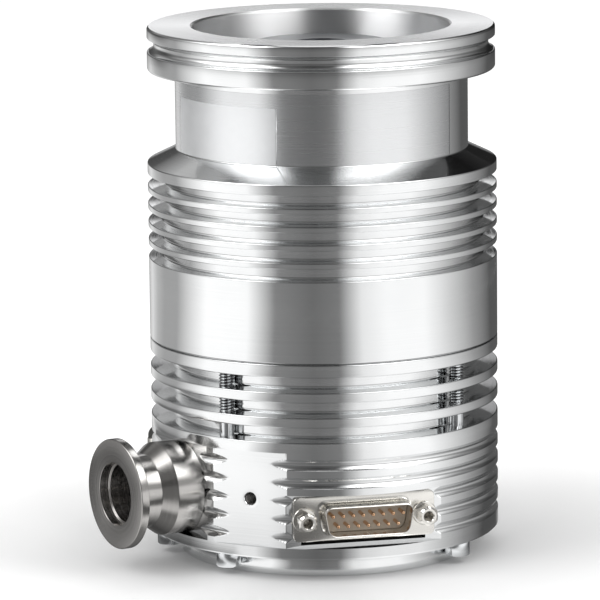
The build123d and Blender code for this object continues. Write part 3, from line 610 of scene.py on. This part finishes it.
JACK_X, JACK_OUT, JACK_FLAT, JACK_CORNER = 16.65, 6.5, 2.5, 2.78
BORE_R, BORE_THREAD, BORE_PITCH = 1.25, 0.13, 0.6       # the tapped hole in its end
a = round_about(72)
threads = np.arange(0, 5.0, 0.15)
rows = np.vstack([[(3.1, 1.31), (3.25, 1.45), (3.25, 1.75), (3.1, 1.9), (JACK_FLAT, 1.92),
                   (JACK_FLAT, JACK_OUT - 0.6), (2.2, JACK_OUT - 0.12), (2.08, JACK_OUT),
                   (1.55, JACK_OUT), (1.3, JACK_OUT - 0.25)],
                  np.stack([BORE_R + BORE_THREAD * np.abs((threads / BORE_PITCH) % 1 * 2 - 1),
                            JACK_OUT - 0.3 - threads], -1), [(0, 1.3)]])
r = rows[:, 0][None] + 0 * a
r = np.where(r == JACK_FLAT, np.minimum(r * hexagon(a), JACK_CORNER), r)
grid = (swept(r, a, rows[:, 1][None])[None]
        + np.array([(-JACK_X, 0, 0), (JACK_X, 0, 0)])[:, None, None, :])
jacks = skin("jack_screw_pair", beside(grid, 0.0, PLUG_FLAT, PLUG_Z), np.linspace(0, 0.0157, 73),
             along(rows), wrap_u=True)
finish_piece(jacks, "housing", "nickel", nickel, "connector_jackscrews")

# ---- labels on the neck ----
# A bare silver foil at the left of the neck and a clear film over the front,
# both stuck on, a fraction of a millimetre thick. They carry no words.
foil = moulded("silver foil", 260.0, 4.0, (0.84, 0.85, 0.86), (0.93, 0.94, 0.95), 0.28, 0.36)
foil.node_tree.nodes["Principled BSDF"].inputs["Metallic"].default_value = 0.8


def patch(name, left, right, low, high, lift, thick=0.05):
    """A sheet stuck to the neck between two headings, its outside lift above the metal."""
    a = np.radians(np.linspace(left, right, int(abs(right - left) * 2) + 2))[:, None]
    outside, inside = NECK_R + lift, NECK_R + lift - thick
    loop = np.array([(inside, low), (outside, low), (outside, high), (inside, high)])
    return closed_up(skin(name, about_axis(loop[:, 0][None], a, loop[:, 1][None]),
                          a[:, 0] * NECK_R * MM, along(loop, True), wrap_v=True))


label = patch("foil_label", -85.4, -31.1, 112.0, 127.2, 0.14)
finish_piece(label, "housing", "foil", foil, "nameplate")
film = machined("clear film over metal", (0.72, 0.73, 0.74), (0.80, 0.805, 0.81), 0.24, 0.05, 0.05,
                stretch=0.6)
film.node_tree.nodes["Principled BSDF"].inputs["Coat Weight"].default_value = 0.5
film.node_tree.nodes["Principled BSDF"].inputs["Coat Roughness"].default_value = 0.12
cover_film = patch("clear_film", -96.0, 45.6, 111.9, 131.0, 0.08)
finish_piece(cover_film, "housing", "foil", film)

# ---- rotor, stator and motor ----
# Milled aluminium rotor and stator stages between spacer rings, seen down the
# inlet; the shaft, bearings and motor are closed in below.
rotor_metal = machined("milled rotor alloy", (0.16, 0.17, 0.18), (0.38, 0.39, 0.41), 0.32, 0.08, 0.25,
                       stretch=0.3, fine=900.0, cad=True)
spacer_metal = machined("turned spacer alloy", (0.66, 0.67, 0.68), (0.84, 0.85, 0.86), 0.24, 0.06, 0.3,
                        fine=1500.0, cad=True)
steel = machined("ground bearing steel", (0.50, 0.51, 0.53), (0.72, 0.73, 0.75), 0.15, 0.05, 0.1,
                 stretch=0.3, fine=1200.0, cad=True)
rubber = moulded("seal rubber", 500.0, 3.0, (0.02, 0.02, 0.022), (0.05, 0.05, 0.055), 0.5, 0.7)
copper = machined("enamelled copper", (0.42, 0.19, 0.09), (0.72, 0.38, 0.20), 0.3, 0.08, 0.4,
                  stretch=0.0, fine=1400.0, cad=True)
laminated = machined("stacked laminations", (0.16, 0.17, 0.18), (0.36, 0.37, 0.39), 0.42, 0.1, 0.6,
                     stretch=0.0, fine=2400.0, cad=True)
coats = {"rotor": rotor_metal, "rotor_stage_1": rotor_metal, "rotor_stage_2": rotor_metal,
         "rotor_stage_3": rotor_metal, "stator_disc_1": rotor_metal, "stator_disc_2": rotor_metal,
         "spacer_ring_1": spacer_metal, "spacer_ring_2": spacer_metal, "spacer_ring_3": spacer_metal,
         "drag_stator": spacer_metal, "rotor_shaft": steel, "rotor_clamp_screw": steel,
         "motor_magnet": laminated, "motor_core": laminated, "motor_windings": copper,
         "base_seal": rubber, "housing_seal": rubber, "foreline_seal": rubber, "cover_screws": steel}
for end in ("lower", "upper"):
    for part in ("outer", "inner", "rollers"):
        coats[f"{end}_bearing_{part}"] = steel
    coats[f"{end}_bearing_carrier"] = spacer_metal
for node, coat in coats.items():
    nodes[node].data.materials.clear()
    nodes[node].data.materials.append(coat)

# ---- studio ----
# A pale floor, soft light from all round, and a ring of light banks that only
# polished metal shows: one bank each side of the camera, dark between them.


CAMERA_HEADING = -13.4
RING, HIGH, PANELS, CARPET_IN, CARPET_Z, LID_R = 0.5, 1.0, 96, 0.044, 0.0006, 0.30     # metres


def stage_mesh(name, verts, faces, material):
    """A mesh that lights the object or stands under it."""
    mesh = bpy.data.meshes.new(name)
    mesh.from_pydata(verts, [], faces)
    mesh.materials.append(material)
    thing = bpy.data.objects.new(name, mesh)
    bpy.context.scene.collection.objects.link(thing)
    return thing


def from_middle(tree):
    """The point being shaded, and its distance from the origin."""
    place = tree.nodes.new("ShaderNodeTexCoord")
    length = tree.nodes.new("ShaderNodeVectorMath")
    length.operation = "LENGTH"
    tree.links.new(place.outputs["Object"], length.inputs[0])
    return place.outputs["Object"], length.outputs["Value"]


def times(tree, *factors):
    """Product of values."""
    product = factors[0]
    for factor in factors[1:]:
        product = worked(tree, "MULTIPLY", product, factor)
    return product


def graded(tree, value, lowest, highest, steps):
    """A brightness read off a value by straight steps of (place, level), whose places lie
    between lowest and highest."""
    scale = tree.nodes.new("ShaderNodeValToRGB")
    tree.links.new(spread(tree, value, 0.0, 1.0, lowest, highest), scale.inputs["Fac"])
    while len(scale.color_ramp.elements) < len(steps):
        scale.color_ramp.elements.new(0.5)
    for element, (at, level) in zip(scale.color_ramp.elements, steps):
        element.position = (at - lowest) / (highest - lowest)
        element.color = (level, level, level, 1)
    return scale.outputs["Color"]


def glowing(name):
    """A material that only gives light, and the node that gives it."""
    stuff = bpy.data.materials.new(name)
    stuff.use_nodes = True
    tree = stuff.node_tree
    tree.nodes.remove(tree.nodes["Principled BSDF"])
    source = tree.nodes.new("ShaderNodeEmission")
    tree.links.new(source.outputs["Emission"], tree.nodes["Material Output"].inputs["Surface"])
    return stuff, source


floor_paint = bpy.data.materials.new("pale floor")
floor_paint.use_nodes = True
tree = floor_paint.node_tree
shader = tree.nodes["Principled BSDF"]
shader.inputs["Base Color"].default_value = (0.82, 0.82, 0.82, 1)
shader.inputs["Roughness"].default_value = 0.6
shader.inputs["Emission Color"].default_value = (1, 1, 1, 1)
rays = tree.nodes.new("ShaderNodeLightPath")
point, reach = from_middle(tree)
# the camera sees the floor whitened by this lift, which fades out near the pump: a painted shadow round
# its foot
lift = times(tree, rays.outputs["Is Camera Ray"], spread(tree, reach, 0.0, 0.42, 0.035, 0.15))
tree.links.new(lift, shader.inputs["Emission Strength"])
stage_mesh("floor", [(-6, -6, 0), (6, -6, 0), (6, 6, 0), (-6, 6, 0)], [(0, 1, 2, 3)], floor_paint)

banks, glow = glowing("light banks")
tree = banks.node_tree
point, reach = from_middle(tree)
split = tree.nodes.new("ShaderNodeSeparateXYZ")
tree.links.new(point, split.inputs["Vector"])
bearing = worked(tree, "ARCTAN2", split.outputs["X"], worked(tree, "MULTIPLY", split.outputs["Y"], -1))
# near the pump a mirrored ray has turned less far than its own heading, so the
# bearing from the camera's heading is stretched there
nearness = graded(tree, reach, 0.0, 0.2, ((0.0, 1.9), (0.048, 1.9), (0.06, 1.66), (0.08, 1.42),
                                          (0.12, 1.2), (0.2, 1.0)))
stretched = worked(tree, "MULTIPLY_ADD", bearing, nearness,
                   spread(tree, nearness, 0.0, math.radians(-CAMERA_HEADING), 1.0, 2.0))
# (heading, level) all the way round
BANKS = ((-180, 0.40), (-163, 0.80), (-150, 0.52), (-138, 0.40), (-121, 0.40), (-107, 0.80), (-93, 1.18),
         (-62, 1.15), (-44, 0.26), (-20, 0.17), (-4, 0.22), (10, 0.95), (26, 1.14), (52, 1.14),
         (74, 0.72), (96, 0.36), (124, 0.10), (165, 0.10), (180, 0.40))
ring = graded(tree, stretched, -math.pi, math.pi,
              [(math.radians(heading), level) for heading, level in BANKS])
sharper = worked(tree, "POWER", ring, spread(tree, split.outputs["Z"], 1.0, 2.2, 0.26, 0.40))
# a painted shadow on the mirrored floor close to the pump's foot, dim just above the horizon, bright
# higher up
foot = graded(tree, reach, 0.0, 0.2, ((0.0, 0.95), (0.058, 0.95), (0.066, 0.78), (0.09, 0.78),
                                      (0.17, 1.0)))
height = graded(tree, split.outputs["Z"], 0.0, 1.0, ((0.0, 1.0), (0.09, 1.0), (0.14, 0.5),
                                                     (0.24, 0.5), (0.42, 2.9), (1.0, 2.5)))
# the floor behind the foreline port is in shade, and so is the floor under it
beyond = worked(tree, "MAXIMUM", spread(tree, split.outputs["X"], 0.38, 1.0, -0.12, -0.07),
                spread(tree, split.outputs["Y"], 1.0, 0.38, 0.0, 0.05))
left = worked(tree, "MAXIMUM", beyond, spread(tree, reach, 0.0, 1.0, 0.20, 0.23))
nearby = worked(tree, "MAXIMUM", spread(tree, reach, 0.0, 1.0, 0.062, 0.082),
                spread(tree, split.outputs["Y"], 1.0, 0.0, -0.044, -0.034))
under = worked(tree, "MAXIMUM", spread(tree, split.outputs["X"], 0.25, 1.0, -0.049, -0.040), nearby)
# dimmer behind the pump, above its foot
behind = times(tree, spread(tree, split.outputs["Y"], 0.0, -0.68, 0.30, 0.40),
               spread(tree, split.outputs["Z"], 0.0, 1.0, 0.065, 0.10))
front = worked(tree, "ADD", behind, 1.0)
dimmed = scaled(tree, sharper, times(tree, foot, left, under, height, front))
# straight behind the pump, patches that its flat upward faces mirror to the camera
aside = tree.nodes.new("ShaderNodeVectorMath")
aside.operation = "DOT_PRODUCT"
h = math.radians(CAMERA_HEADING)
aside.inputs[1].default_value = (math.cos(h), math.sin(h), 0)
tree.links.new(point, aside.inputs[0])
width = worked(tree, "ABSOLUTE", aside.outputs["Value"])
mirrored = graded(tree, split.outputs["Z"], 0.0, 1.0,
                  ((0.0, 0.0), (0.065, 0.0), (0.08, 0.42), (0.15, 0.42), (0.156, 0.0), (0.171, 0.0),
                   (0.182, 0.95), (0.31, 1.0), (0.34, 0.0)))
strip = times(tree, mirrored, spread(tree, width, 1.0, 0.0, 0.075, 0.11),
              spread(tree, split.outputs["Y"], 0.0, 1.0, 0.30, 0.40))
mix = tree.nodes.new("ShaderNodeMix")
mix.data_type = "RGBA"
mix.inputs["B"].default_value = (1.0, 1.0, 1.01, 1)
tree.links.new(strip, mix.inputs["Factor"])
tree.links.new(dimmed, mix.inputs["A"])
tree.links.new(mix.outputs["Result"], glow.inputs["Color"])

turn = np.linspace(0, 2 * math.pi, PANELS + 1)
panels = [(2 * k, 2 * k + 1, 2 * k + 3, 2 * k + 2) for k in range(PANELS)]
wall_points = [(RING * math.sin(t), -RING * math.cos(t), z) for t in turn for z in (0.001, HIGH)]
tent = stage_mesh("light_bank_ring", wall_points, panels, banks)
carpet_points = [(r * math.sin(t), -r * math.cos(t), CARPET_Z) for t in turn for r in (CARPET_IN, RING)]
carpet = stage_mesh("light_bank_floor", carpet_points, panels, banks)
lid_points = [(LID_R * math.sin(t), -LID_R * math.cos(t), HIGH) for t in turn[:-1]]
lid = stage_mesh("light_bank_top", lid_points, [tuple(range(PANELS))], glowing("overhead bank")[0])
for thing in (tent, carpet, lid):
    thing.visible_camera = thing.visible_diffuse = thing.visible_shadow = False
    thing.visible_transmission = thing.visible_volume_scatter = False

world = bpy.data.worlds.new("studio air")
bpy.context.scene.world = world
world.use_nodes = True
tree = world.node_tree
sky = tree.nodes["Background"]
rays = tree.nodes.new("ShaderNodeLightPath")
share = 0.0
for kind, strength in (("Is Camera Ray", 1.0), ("Is Diffuse Ray", 0.85), ("Is Glossy Ray", 0.12)):
    share = worked(tree, "MULTIPLY_ADD", rays.outputs[kind], strength, share)
tree.links.new(share, sky.inputs["Strength"])
sky.inputs["Color"].default_value = (1, 1, 1, 1)


def lamp(name, heading, distance, high, size, watts):
    """A square soft lamp at a heading, turned to face the pump."""
    light = bpy.data.lights.new(name, "AREA")
    light.size, light.energy = size, watts
    thing = bpy.data.objects.new(name, light)
    h = math.radians(heading)
    thing.location = (distance * math.sin(h), -distance * math.cos(h), high)
    to_pump = Vector((0, 0, 0.07)) - thing.location
    thing.rotation_euler = to_pump.to_track_quat("-Z", "Y").to_euler()
    thing.visible_glossy = False
    bpy.context.scene.collection.objects.link(thing)


lamp("left lamp", -75, 1.1, 1.1, 0.7, 5.0)
lamp("right lamp", 45, 1.2, 1.0, 0.7, 4.0)

# ---- camera ----
# A long lens a little above the flange, turned slightly left of the connector.
view = bpy.data.cameras.new("camera")
view.lens, view.sensor_width = 300.2, 36.0
AIM, DISTANCE, TILT, ROLL = (-6.281, 1.496, 68.62), 1.377, 10.276, -0.640
camera = bpy.data.objects.new("camera", view)
bpy.context.scene.collection.objects.link(camera)
h, e, roll = math.radians(CAMERA_HEADING), math.radians(TILT), math.radians(ROLL)
back = Vector((math.sin(h) * math.cos(e), -math.cos(h) * math.cos(e), math.sin(e)))
right = Vector((math.cos(h), math.sin(h), 0))
up = back.cross(right)
side = right * math.cos(roll) + up * math.sin(roll)
rise = up * math.cos(roll) - right * math.sin(roll)
spot = Vector(AIM) * MM + back * DISTANCE
camera.matrix_world = Matrix(((side.x, rise.x, back.x, spot.x), (side.y, rise.y, back.y, spot.y),
                              (side.z, rise.z, back.z, spot.z), (0, 0, 0, 1)))
bpy.context.scene.camera = camera
bpy.context.scene.view_settings.view_transform = "Standard"
